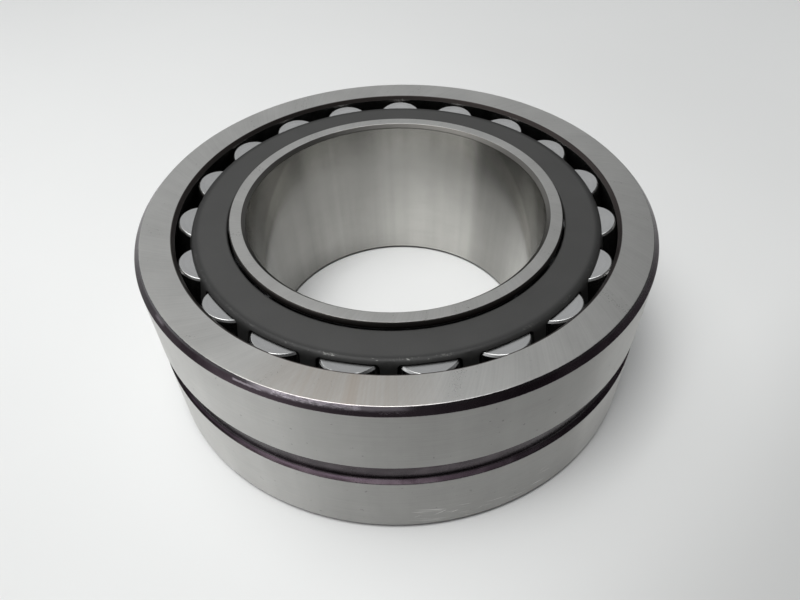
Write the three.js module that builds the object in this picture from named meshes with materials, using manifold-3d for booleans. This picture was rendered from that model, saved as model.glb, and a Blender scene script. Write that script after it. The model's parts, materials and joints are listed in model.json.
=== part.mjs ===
// Self-aligning roller bearing: two rows of barrel-shaped rollers between an outer ring with a
// spherical raceway and an inner ring with a tapered bore. Each row has its own pressed cage, and a
// loose guide ring on the inner ring keeps the rows apart.
// Millimetres. The origin is the centre of the bearing, +Z is its axis, and the bore's large end is up.

import * as THREE from "three";
import { mergeVertices } from "three/addons/utils/BufferGeometryUtils.js";
import Module from "manifold-3d";

// Boundary dimensions
const OUTSIDE_DIAMETER = 215;
const WIDTH = 76;
const BORE_DIAMETER = 120; // at the small end
const BORE_TAPER = 1 / 12; // gain in diameter for each unit of width

// Rollers and their places
const ROLLERS_PER_ROW = 19;
const ROLLER_DIAMETER = 23.6; // at the middle of the barrel
const ROLLER_LENGTH = 27.5;
const ROLLER_PROFILE_RADIUS = 95.6; // of the barrel's curved side
const ROLLER_END_RADIUS = 10.3; // of the flat end face
const ROLLER_END_CHAMFER = 0.9; // along the roller's axis
const CONTACT_ANGLE = THREE.MathUtils.degToRad(13.1);
const FIRST_ROLLER_AZIMUTH = THREE.MathUtils.degToRad(11.5);

// Raceways
const RACEWAY_RADIUS = 98.5; // of the sphere in the outer ring, and of the inner ring's hollow profile
const ROLLER_GAP = 0.3; // between a roller and whatever it runs on

// Outer ring
const OUTER_CHAMFER = 2.4;
const OUTER_FACE_INNER_RADIUS = 92.6;
const OUTER_INNER_CHAMFER = 1.6; // along the axis
const GROOVE_WIDTH = 11.1;
const GROOVE_FLOOR_WIDTH = 9.4;
const GROOVE_DEPTH = 2;
const OIL_HOLE_DIAMETER = 6;
const OIL_HOLE_AZIMUTHS = [90, 210, 330].map(THREE.MathUtils.degToRad);

// Inner ring
const BORE_CHAMFER = 1.5;
const INNER_EDGE_BREAK = 0.45;
const LAND_RADIUS = 76.5; // of the plain band between the two raceways

// Guide ring
const GUIDE_GAP = 0.3;
const GUIDE_OUTER_RADIUS = 88;
const GUIDE_EDGE_BREAK = 0.5;

// Cages
const CAGE_SHEET = 2;
const CAGE_FLANGE_DROP = 2.4; // from the bearing's face down to the flange
const CAGE_FLANGE_INNER_RADIUS = 70.8;
const CAGE_WALL_OFFSET = 3; // from the rollers' axes out to the inside of the cage's wall
const CAGE_WALL_DIP = 1.1; // how much nearer the axes the round wall comes at a pocket's long sides
const CAGE_BEND_RADIUS = 2.8; // outside of the bend between flange and wall
const CAGE_END_HEIGHT = 1; // from the bearing's mid plane to the cage's inner end
const POCKET_GAP = 0.3;
const POCKET_CORNER = 0.9; // cut off each corner of a pocket
const POCKET_REACH = 9; // how far out of the rollers' axes a pocket is cut

// How finely round pieces are divided. Each ring's number is a multiple of the number of rollers.
const OUTER_RING_SEGMENTS = 76;
const INNER_RING_SEGMENTS = 57;
const GUIDE_RING_SEGMENTS = 57;
const CAGE_SEGMENTS = 38;
const ROLLER_SEGMENTS = 12;
const OUTER_RACEWAY_STEPS = 8;
const INNER_RACEWAY_STEPS = 4;
const BARREL_STEPS = 3;
const BEND_STEPS = 2;
const OIL_HOLE_SEGMENTS = 10;

const UP = 1;
const DOWN = -1;
const HALF_WIDTH = WIDTH / 2;
const OUTSIDE_RADIUS = OUTSIDE_DIAMETER / 2;
const ROLLER_RADIUS = ROLLER_DIAMETER / 2;

// A roller's centre lies on the contact line, which leaves the origin at the contact angle.
const PITCH_DISTANCE = RACEWAY_RADIUS - ROLLER_GAP - ROLLER_RADIUS;
const PITCH_CENTRE = new THREE.Vector2(
  PITCH_DISTANCE * Math.cos(CONTACT_ANGLE),
  PITCH_DISTANCE * Math.sin(CONTACT_ANGLE),
);
const ALONG = new THREE.Vector2(-Math.sin(CONTACT_ANGLE), Math.cos(CONTACT_ANGLE)); // up a roller's axis
const OUTWARD = new THREE.Vector2(Math.cos(CONTACT_ANGLE), Math.sin(CONTACT_ANGLE));

const wasm = await Module();
wasm.setup();

// ---- Finishes ----

const GROUND_STEEL = { color: 0x9d9c96, roughness: 0.34, metalness: 1 };
const FINISHES = {
  outer_ring: GROUND_STEEL,
  inner_ring: GROUND_STEEL,
  guide_ring: { color: 0x8c8c88, roughness: 0.42, metalness: 1 },
  cage: { color: 0x2f2f2f, roughness: 0.55, metalness: 0.6 },
  roller: { color: 0xb4b8bd, roughness: 0.16, metalness: 1 },
};

function namedMesh(name, geometry, finish) {
  const mesh = new THREE.Mesh(geometry, new THREE.MeshStandardMaterial(FINISHES[finish]));
  mesh.name = name;
  return mesh;
}

// ---- Geometry helpers ----

// A point of a row's axial section, from its place in a roller's own frame.
function sectionPoint(along, outward) {
  return PITCH_CENTRE.clone().addScaledVector(ALONG, along).addScaledVector(OUTWARD, outward);
}

// Where the line at that distance outside the rollers' axes crosses a height.
function wallPointAtHeight(outward, height) {
  const start = sectionPoint(0, outward);
  return start.clone().addScaledVector(ALONG, (height - start.y) / ALONG.y);
}

// Turns a section round the Z axis. The section's points are (radius, height), going round the material
// with the outside first, upwards.
function revolve(section, segments) {
  const geometry = new THREE.LatheGeometry(section, segments);
  return geometry.rotateX(Math.PI / 2);
}

function closed(section) {
  return [...section, section[0].clone()];
}

function mirrored(section) {
  return section.map((p) => new THREE.Vector2(p.x, -p.y)).reverse();
}

function toSolid(geometry) {
  const bare = geometry.clone();
  bare.deleteAttribute("normal");
  bare.deleteAttribute("uv");
  const welded = mergeVertices(bare, 1e-4);
  return new wasm.Manifold(
    new wasm.Mesh({
      numProp: 3,
      vertProperties: welded.getAttribute("position").array,
      triVerts: new Uint32Array(welded.getIndex().array),
    }),
  );
}

function toGeometry(solid) {
  const mesh = solid.getMesh();
  const geometry = new THREE.BufferGeometry();
  geometry.setAttribute("position", new THREE.BufferAttribute(new Float32Array(mesh.vertProperties), 3));
  geometry.setIndex(new THREE.BufferAttribute(new Uint32Array(mesh.triVerts), 1));
  geometry.computeVertexNormals();
  return geometry;
}

function cutAway(geometry, cutters) {
  return toGeometry(cutters.reduce((solid, cutter) => solid.subtract(toSolid(cutter)), toSolid(geometry)));
}

// ---- Outer ring ----

function outerRingSection() {
  const edge = HALF_WIDTH - OUTER_INNER_CHAMFER;
  const halfArc = Math.asin(edge / RACEWAY_RADIUS);
  const raceway = new THREE.ArcCurve(0, 0, RACEWAY_RADIUS, halfArc, -halfArc, true);
  const upperOutside = [
    new THREE.Vector2(OUTSIDE_RADIUS - GROOVE_DEPTH, GROOVE_FLOOR_WIDTH / 2),
    new THREE.Vector2(OUTSIDE_RADIUS, GROOVE_WIDTH / 2),
    new THREE.Vector2(OUTSIDE_RADIUS, HALF_WIDTH - OUTER_CHAMFER),
    new THREE.Vector2(OUTSIDE_RADIUS - OUTER_CHAMFER, HALF_WIDTH),
    new THREE.Vector2(OUTER_FACE_INNER_RADIUS, HALF_WIDTH),
  ];
  return closed([...upperOutside, ...raceway.getPoints(OUTER_RACEWAY_STEPS), ...mirrored(upperOutside)]);
}

function oilHoleCutter(azimuth) {
  const length = 2 * (OUTSIDE_RADIUS - RACEWAY_RADIUS);
  const radius = OIL_HOLE_DIAMETER / 2;
  return new THREE.CylinderGeometry(radius, radius, length, OIL_HOLE_SEGMENTS)
    .translate(0, (OUTSIDE_RADIUS + RACEWAY_RADIUS) / 2, 0)
    .rotateZ(azimuth - Math.PI / 2);
}

function makeOuterRing() {
  const ring = revolve(outerRingSection(), OUTER_RING_SEGMENTS);
  return namedMesh("outer_ring", cutAway(ring, OIL_HOLE_AZIMUTHS.map(oilHoleCutter)), "outer_ring");
}

// ---- Inner ring ----

// The bore's radius at a height: it widens upwards.
function boreRadius(height) {
  return BORE_DIAMETER / 2 + ((height + HALF_WIDTH) * BORE_TAPER) / 2;
}

// The upper raceway's hollow profile, from the middle land up to the broken edge at the face.
function innerRacewayPoints() {
  const floorDistance = PITCH_DISTANCE - ROLLER_RADIUS - ROLLER_GAP;
  const centre = OUTWARD.clone().multiplyScalar(floorDistance + RACEWAY_RADIUS);
  const landAngle = Math.acos((centre.x - LAND_RADIUS) / RACEWAY_RADIUS);
  const faceAngle = Math.asin((centre.y - HALF_WIDTH + INNER_EDGE_BREAK) / RACEWAY_RADIUS);
  const profile = new THREE.ArcCurve(
    centre.x,
    centre.y,
    RACEWAY_RADIUS,
    Math.PI + landAngle,
    Math.PI + faceAngle,
    true,
  );
  return profile.getPoints(INNER_RACEWAY_STEPS);
}

function innerRingSection() {
  const upperRaceway = innerRacewayPoints();
  const faceRadius = upperRaceway.at(-1).x - INNER_EDGE_BREAK;
  const topBore = boreRadius(HALF_WIDTH);
  const bottomBore = boreRadius(-HALF_WIDTH);
  return closed([
    ...mirrored(upperRaceway),
    ...upperRaceway,
    new THREE.Vector2(faceRadius, HALF_WIDTH),
    new THREE.Vector2(topBore + BORE_CHAMFER, HALF_WIDTH),
    new THREE.Vector2(boreRadius(HALF_WIDTH - BORE_CHAMFER), HALF_WIDTH - BORE_CHAMFER),
    new THREE.Vector2(boreRadius(BORE_CHAMFER - HALF_WIDTH), BORE_CHAMFER - HALF_WIDTH),
    new THREE.Vector2(bottomBore + BORE_CHAMFER, -HALF_WIDTH),
    new THREE.Vector2(faceRadius, -HALF_WIDTH),
  ]);
}

function makeInnerRing() {
  return namedMesh("inner_ring", revolve(innerRingSection(), INNER_RING_SEGMENTS), "inner_ring");
}

// ---- Guide ring ----

// Its sides lie along the rollers' inner end faces.
function guideFaceHeight(radius) {
  const face = sectionPoint(-ROLLER_LENGTH / 2 - GUIDE_GAP, 0);
  return face.y + ((radius - face.x) * OUTWARD.y) / OUTWARD.x;
}

function guideRingSection() {
  const inside = LAND_RADIUS + GUIDE_GAP;
  const shoulder = GUIDE_OUTER_RADIUS - GUIDE_EDGE_BREAK;
  const upper = [
    new THREE.Vector2(GUIDE_OUTER_RADIUS, guideFaceHeight(shoulder) - GUIDE_EDGE_BREAK),
    new THREE.Vector2(shoulder, guideFaceHeight(shoulder)),
    new THREE.Vector2(inside, guideFaceHeight(inside)),
  ];
  return closed([...upper, ...mirrored(upper)]);
}

function makeGuideRing() {
  return namedMesh("guide_ring", revolve(guideRingSection(), GUIDE_RING_SEGMENTS), "guide_ring");
}

// ---- Rollers ----

// Half the barrel's width at a distance from its middle.
function barrelRadius(along) {
  const sagitta = ROLLER_PROFILE_RADIUS - Math.sqrt(ROLLER_PROFILE_RADIUS ** 2 - along ** 2);
  return ROLLER_RADIUS - sagitta;
}

function rollerSection() {
  const half = ROLLER_LENGTH / 2;
  const barrelEnd = half - ROLLER_END_CHAMFER;
  const side = Array.from({ length: BARREL_STEPS + 1 }, (_, i) => {
    const along = barrelEnd * ((2 * i) / BARREL_STEPS - 1);
    return new THREE.Vector2(barrelRadius(along), along);
  });
  return [
    new THREE.Vector2(0, -half),
    new THREE.Vector2(ROLLER_END_RADIUS, -half),
    ...side,
    new THREE.Vector2(ROLLER_END_RADIUS, half),
    new THREE.Vector2(0, half),
  ];
}

// The azimuths of a row's rollers. The lower row stands half a pitch on from the upper one.
function rollerAzimuths(side) {
  const pitch = (2 * Math.PI) / ROLLERS_PER_ROW;
  const start = FIRST_ROLLER_AZIMUTH + (side === UP ? 0 : pitch / 2);
  return Array.from({ length: ROLLERS_PER_ROW }, (_, i) => start + i * pitch);
}

// An arm that reaches from the bearing's axis to a roller's seat. The seat's Z runs along the roller and
// its X points outwards.
function rollerArm(side, azimuth) {
  const arm = new THREE.Group();
  const seat = new THREE.Group();
  arm.rotation.z = azimuth;
  seat.position.set(PITCH_CENTRE.x, 0, side * PITCH_CENTRE.y);
  seat.rotation.y = -side * CONTACT_ANGLE;
  arm.add(seat);
  arm.updateMatrixWorld(true);
  return { arm, seat };
}

function makeRollers(side, rowName) {
  const geometry = revolve(rollerSection(), ROLLER_SEGMENTS);
  return rollerAzimuths(side).map((azimuth, i) => {
    const { arm, seat } = rollerArm(side, azimuth);
    const number = String(i + 1).padStart(2, "0");
    seat.add(namedMesh(`roller_${rowName}_${number}`, geometry, "roller"));
    return arm;
  });
}

// ---- Cages ----

// The bend between a horizontal surface of the flange and the wall's surface outside the roller's axes.
function bendPoints(outward, flangeHeight, radius) {
  const corner = wallPointAtHeight(outward, flangeHeight);
  const turn = Math.PI / 2 - CONTACT_ANGLE;
  const centre = new THREE.Vector2(corner.x - radius * Math.tan(turn / 2), flangeHeight - radius);
  const bend = new THREE.ArcCurve(centre.x, centre.y, radius, CONTACT_ANGLE, Math.PI / 2, false);
  return bend.getPoints(BEND_STEPS);
}

function cageSection() {
  const top = HALF_WIDTH - CAGE_FLANGE_DROP;
  const outside = CAGE_WALL_OFFSET + CAGE_SHEET;
  return closed([
    wallPointAtHeight(outside, CAGE_END_HEIGHT),
    ...bendPoints(outside, top, CAGE_BEND_RADIUS),
    new THREE.Vector2(CAGE_FLANGE_INNER_RADIUS, top),
    new THREE.Vector2(CAGE_FLANGE_INNER_RADIUS, top - CAGE_SHEET),
    ...bendPoints(CAGE_WALL_OFFSET, top - CAGE_SHEET, CAGE_BEND_RADIUS - CAGE_SHEET).reverse(),
    wallPointAtHeight(CAGE_WALL_OFFSET, CAGE_END_HEIGHT),
  ]);
}

// A pocket's outline in a roller's own frame: X across the roller, Y along it. Its long sides follow the
// barrel where that passes through the wall.
function pocketShape() {
  const wallOffset = CAGE_WALL_OFFSET - CAGE_WALL_DIP;
  const halfWidthAt = (along) => Math.sqrt(barrelRadius(along) ** 2 - wallOffset ** 2) + POCKET_GAP;
  const halfLength = ROLLER_LENGTH / 2 + POCKET_GAP;
  const straightEnd = halfLength - POCKET_CORNER;
  const endWidth = halfWidthAt(ROLLER_LENGTH / 2 - ROLLER_END_CHAMFER);
  const bulge = 2 * halfWidthAt(0) - endWidth;
  const shape = new THREE.Shape();
  shape.moveTo(endWidth, -straightEnd);
  shape.quadraticCurveTo(bulge, 0, endWidth, straightEnd);
  shape.lineTo(endWidth - POCKET_CORNER, halfLength);
  shape.lineTo(POCKET_CORNER - endWidth, halfLength);
  shape.lineTo(-endWidth, straightEnd);
  shape.quadraticCurveTo(-bulge, 0, -endWidth, -straightEnd);
  shape.lineTo(POCKET_CORNER - endWidth, -halfLength);
  shape.lineTo(endWidth - POCKET_CORNER, -halfLength);
  shape.closePath();
  return shape;
}

// The outline stands across the roller and is extruded outwards, from the roller's axis through the wall.
function pocketCutter(side, azimuth) {
  const { seat } = rollerArm(side, azimuth);
  const outline = new THREE.ExtrudeGeometry(pocketShape(), {
    depth: POCKET_REACH,
    bevelEnabled: false,
    curveSegments: 2,
  });
  const acrossToY = new THREE.Matrix4().makeBasis(
    new THREE.Vector3(0, 1, 0),
    new THREE.Vector3(0, 0, 1),
    new THREE.Vector3(1, 0, 0),
  );
  return outline.applyMatrix4(acrossToY).applyMatrix4(seat.matrixWorld);
}

function makeCage(side, rowName) {
  const section = side === UP ? cageSection() : mirrored(cageSection());
  const cutters = rollerAzimuths(side).map((azimuth) => pocketCutter(side, azimuth));
  return namedMesh(`cage_${rowName}`, cutAway(revolve(section, CAGE_SEGMENTS), cutters), "cage");
}

// ---- Assembly ----

function makeRow(side, rowName) {
  const row = new THREE.Group();
  row.add(makeCage(side, rowName), ...makeRollers(side, rowName));
  return row;
}

// Everything inside the outer ring's sphere, which tilts in it as one.
const insert = new THREE.Group();
insert.add(makeInnerRing(), makeGuideRing(), makeRow(UP, "upper"), makeRow(DOWN, "lower"));

const bearing = new THREE.Group();
bearing.add(makeOuterRing(), insert);

export default bearing;
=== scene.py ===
"""Looks for the spherical roller bearing: finely turned rings, barrel rollers and pressed cages.

Sizes are in millimetres until a mesh is made, and azimuths in degrees from +X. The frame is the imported
model's own: the origin is the bearing's centre and +Z its axis, with the bore's large end up.
"""
import cmath
import json
import logging
import math
from dataclasses import dataclass, field
from enum import Enum
from typing import Any, Mapping, Sequence, Union

import bpy
import numpy as np
from mathutils import Matrix, Vector

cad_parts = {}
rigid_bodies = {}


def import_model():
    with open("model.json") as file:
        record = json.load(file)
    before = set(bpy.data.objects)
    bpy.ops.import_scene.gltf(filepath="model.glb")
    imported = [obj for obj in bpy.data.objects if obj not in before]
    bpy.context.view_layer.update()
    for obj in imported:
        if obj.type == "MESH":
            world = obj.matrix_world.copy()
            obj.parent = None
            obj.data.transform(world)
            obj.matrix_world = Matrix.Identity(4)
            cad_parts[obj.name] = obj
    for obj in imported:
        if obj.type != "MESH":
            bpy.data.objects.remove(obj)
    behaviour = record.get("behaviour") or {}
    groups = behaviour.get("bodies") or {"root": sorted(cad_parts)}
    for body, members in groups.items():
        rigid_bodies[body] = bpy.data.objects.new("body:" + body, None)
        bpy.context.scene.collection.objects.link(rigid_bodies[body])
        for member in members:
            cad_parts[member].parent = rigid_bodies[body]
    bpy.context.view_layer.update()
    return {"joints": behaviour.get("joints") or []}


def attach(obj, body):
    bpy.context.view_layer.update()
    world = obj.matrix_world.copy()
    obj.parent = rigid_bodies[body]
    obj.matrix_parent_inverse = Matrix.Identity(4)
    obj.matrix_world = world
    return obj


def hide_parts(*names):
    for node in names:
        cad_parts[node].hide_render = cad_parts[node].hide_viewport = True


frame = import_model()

LOG = logging.getLogger("bearing")
MM = 0.001
SHARP_ANGLE = math.radians(50.0)
Colour = tuple[float, float, float]
Point = tuple[float, float]


# ---------------------------------------------------------------- shader tools


class Wire:
    """One socket of a node tree, with arithmetic that adds Math nodes."""

    def __init__(self, recipe: "Recipe", socket: bpy.types.NodeSocket) -> None:
        """Keeps the tree's recipe and the socket."""
        self.recipe = recipe
        self.socket = socket

    def _maths(self, operation: str, *values: "Value") -> "Wire":
        """Adds one Math node and returns its result."""
        return self.recipe.add("ShaderNodeMath", {"operation": operation}, dict(enumerate(values)))

    def __add__(self, other: "Value") -> "Wire":
        """Sum."""
        return self._maths("ADD", self, other)

    def __radd__(self, other: "Value") -> "Wire":
        """Sum, number first."""
        return self._maths("ADD", other, self)

    def __sub__(self, other: "Value") -> "Wire":
        """Difference."""
        return self._maths("SUBTRACT", self, other)

    def __rsub__(self, other: "Value") -> "Wire":
        """Difference, number first."""
        return self._maths("SUBTRACT", other, self)

    def __mul__(self, other: "Value") -> "Wire":
        """Product."""
        return self._maths("MULTIPLY", self, other)

    def __rmul__(self, other: "Value") -> "Wire":
        """Product, number first."""
        return self._maths("MULTIPLY", other, self)

    def __truediv__(self, other: "Value") -> "Wire":
        """Quotient."""
        return self._maths("DIVIDE", self, other)

    def __abs__(self) -> "Wire":
        """Size without its sign."""
        return self._maths("ABSOLUTE", self)

    def root(self) -> "Wire":
        """Square root."""
        return self._maths("SQRT", self)

    def most(self, other: "Value") -> "Wire":
        """The larger of the two."""
        return self._maths("MAXIMUM", self, other)

    def fade(self, start: float, end: float) -> "Wire":
        """A soft step: 0 at start and before it, 1 at end and past it.

        Args:
            start: the value where the step begins.
            end: the value where it is complete, larger or smaller than start.

        Returns:
            The step, from 0 to 1.
        """
        flip = end < start
        ends = {1: min(start, end), 2: max(start, end), 3: float(flip), 4: float(not flip)}
        smooth = {"interpolation_type": "SMOOTHSTEP", "clamp": True}
        return self.recipe.add("ShaderNodeMapRange", smooth, {0: self, **ends})


Value = Union[float, Wire]


class Recipe:
    """Builds the nodes of one material or of the world."""

    def __init__(self, tree: bpy.types.NodeTree) -> None:
        """Starts from an empty tree."""
        self.tree = tree
        tree.nodes.clear()

    def add(
        self,
        kind: str,
        settings: Mapping[str, Any] | None = None,
        sockets: Mapping[int | str, Any] | None = None,
        out: int | str = 0,
    ) -> Wire:
        """Adds a node.

        Args:
            kind: the node's type.
            settings: attributes set first.
            sockets: values or wires for its inputs, by number or name.
            out: which output to return.

        Returns:
            The chosen output.
        """
        node = self.tree.nodes.new(kind)
        for key, value in (settings or {}).items():
            setattr(node, key, value)
        for key, value in (sockets or {}).items():
            if isinstance(value, Wire):
                self.tree.links.new(value.socket, node.inputs[key])
            else:
                node.inputs[key].default_value = value
        return Wire(self, node.outputs[out] if node.outputs else node.inputs[0])

    def colour(self, value: Colour | Wire) -> Any:
        """A colour ready for a socket."""
        return value if isinstance(value, Wire) else (*value, 1.0)

    def mix(self, factor: Value, first: Colour | Wire, second: Colour | Wire, blend: str = "MIX") -> Wire:
        """Mixes two colours.

        Args:
            factor: how much of the second.
            first: the colour at 0.
            second: the colour at 1.
            blend: the Mix node's blend type.

        Returns:
            The mixed colour.
        """
        sockets = {0: factor, 6: self.colour(first), 7: self.colour(second)}
        return self.add("ShaderNodeMix", {"data_type": "RGBA", "blend_type": blend}, sockets, 2)

    def shade(self, colour: Colour | Wire, amount: Value) -> Wire:
        """Multiplies a colour by a number."""
        grey = self.add("ShaderNodeCombineColor", None, {0: amount, 1: amount, 2: amount})
        return self.mix(1.0, colour, grey, "MULTIPLY")

    def vector(self, x: Value, y: Value, z: Value) -> Wire:
        """A vector of three values."""
        return self.add("ShaderNodeCombineXYZ", None, {0: x, 1: y, 2: z})

    def split(self, vector: Wire, axis: int) -> Wire:
        """One part of a vector: 0 for X, 1 for Y, 2 for Z."""
        return self.add("ShaderNodeSeparateXYZ", None, {0: vector}, axis)

    def noise(self, where: Wire, detail: float = 3.0, rough: float = 0.5) -> Wire:
        """Smooth noise around 0.5.

        Args:
            where: where it is sampled; it varies over one unit.
            detail: how many finer layers are added.
            rough: how strong the finer layers are.

        Returns:
            The noise's value.
        """
        sockets = {"Vector": where, "Scale": 1.0, "Detail": detail, "Roughness": rough}
        return self.add("ShaderNodeTexNoise", {"noise_dimensions": "3D"}, sockets)


@dataclass(frozen=True)
class Sector:
    """A stretch round the axis, strongest in its middle.

    It fades out at the spread to each side. With soft set, it reaches its full strength that early.
    """

    azimuth: float
    spread: float
    strength: float = 1.0
    soft: float = 0.0


class Place:
    """Where a surface point lies round the bearing, in millimetres."""

    def __init__(self, recipe: Recipe) -> None:
        """Reads the point from the piece's own coordinates."""
        self.recipe = recipe
        raw = recipe.add("ShaderNodeTexCoord", out="Object")
        self.point = self._scaled(raw, (1 / MM, 1 / MM, 1 / MM))
        self.x, self.y, self.z = (recipe.split(self.point, axis) for axis in range(3))
        self.radius = (self.x * self.x + self.y * self.y).root()

    def _scaled(self, vector: Wire, by: Colour) -> Wire:
        """A vector scaled along each axis."""
        return self.recipe.add("ShaderNodeVectorMath", {"operation": "MULTIPLY"}, {0: vector, 1: by})

    def noise(
        self,
        across: float,
        along: float | None = None,
        detail: float = 3.0,
        rough: float = 0.5,
    ) -> Wire:
        """Noise fixed to the piece.

        Args:
            across: how fine it is in X and Y.
            along: how fine it is in Z, or None for the same.
            detail: how many finer layers are added.
            rough: how strong the finer layers are.

        Returns:
            The noise's value.
        """
        where = self._scaled(self.point, (across, across, across if along is None else along))
        return self.recipe.noise(where, detail, rough)

    def spokes(self, count: float, drift: float, curl: float = 0.0) -> Wire:
        """Coordinates that change round the axis and hardly along the radius.

        Args:
            count: how fast they change round the axis.
            drift: how fast they change along the radius and the axis.
            curl: how far the spokes bend, in radians for each millimetre of radius.

        Returns:
            The coordinates, without a seam.
        """
        bent = self.point
        if curl:
            turn = {"Vector": self.point, "Angle": self.radius * curl}
            bent = self.recipe.add("ShaderNodeVectorRotate", {"rotation_type": "Z_AXIS"}, turn)
        x = self.recipe.split(bent, 0) / self.radius
        y = self.recipe.split(bent, 1) / self.radius
        return self.recipe.vector(x * count, y * count, (self.radius + self.z) * drift)

    def sector(self, sector: Sector) -> Wire:
        """A mask over a stretch round the axis.

        Args:
            sector: the stretch.

        Returns:
            Its strength in its middle, 0 beyond its spread.
        """
        angle = math.radians(sector.azimuth)
        facing = (self.x * math.cos(angle) + self.y * math.sin(angle)) / self.radius
        mask = facing.fade(math.cos(math.radians(sector.spread)), 1.0)
        if sector.soft:
            mask = mask.fade(0.0, sector.soft)
        return mask if sector.strength == 1.0 else mask * sector.strength


# ---------------------------------------------------------------- finishes


def new_material(name: str) -> tuple[bpy.types.Material, Recipe]:
    """Makes an empty node material, and the recipe for its nodes."""
    material = bpy.data.materials.new(name)
    material.use_nodes = True
    return material, Recipe(material.node_tree)


def finish_material(
    recipe: Recipe,
    colour: Wire | Colour,
    roughness: Value,
    height: Wire | None = None,
    depth: float = 0.0,
    metallic: Value = 1.0,
    fixed: Mapping[str, float] | None = None,
) -> None:
    """Adds the surface shader and the output.

    Args:
        recipe: the material's recipe.
        colour: base colour.
        roughness: how rough it is.
        height: relief from 0 to 1, or None.
        depth: the relief's height in millimetres.
        metallic: how metallic it is.
        fixed: uniform values for other sockets, by name.
    """
    sockets: dict[int | str, Any] = {
        "Base Color": recipe.colour(colour),
        "Roughness": roughness,
        "Metallic": metallic,
        **(fixed or {}),
    }
    if height is not None:
        relief = {"Height": height, "Strength": 1.0, "Distance": depth * MM}
        sockets["Normal"] = recipe.add("ShaderNodeBump", None, relief)
    shader = recipe.add("ShaderNodeBsdfPrincipled", None, sockets)
    recipe.add("ShaderNodeOutputMaterial", None, {"Surface": shader})


class Lay(Enum):
    """The direction in which a surface was ground."""

    ROUND = "round"
    ACROSS = "across"


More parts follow.
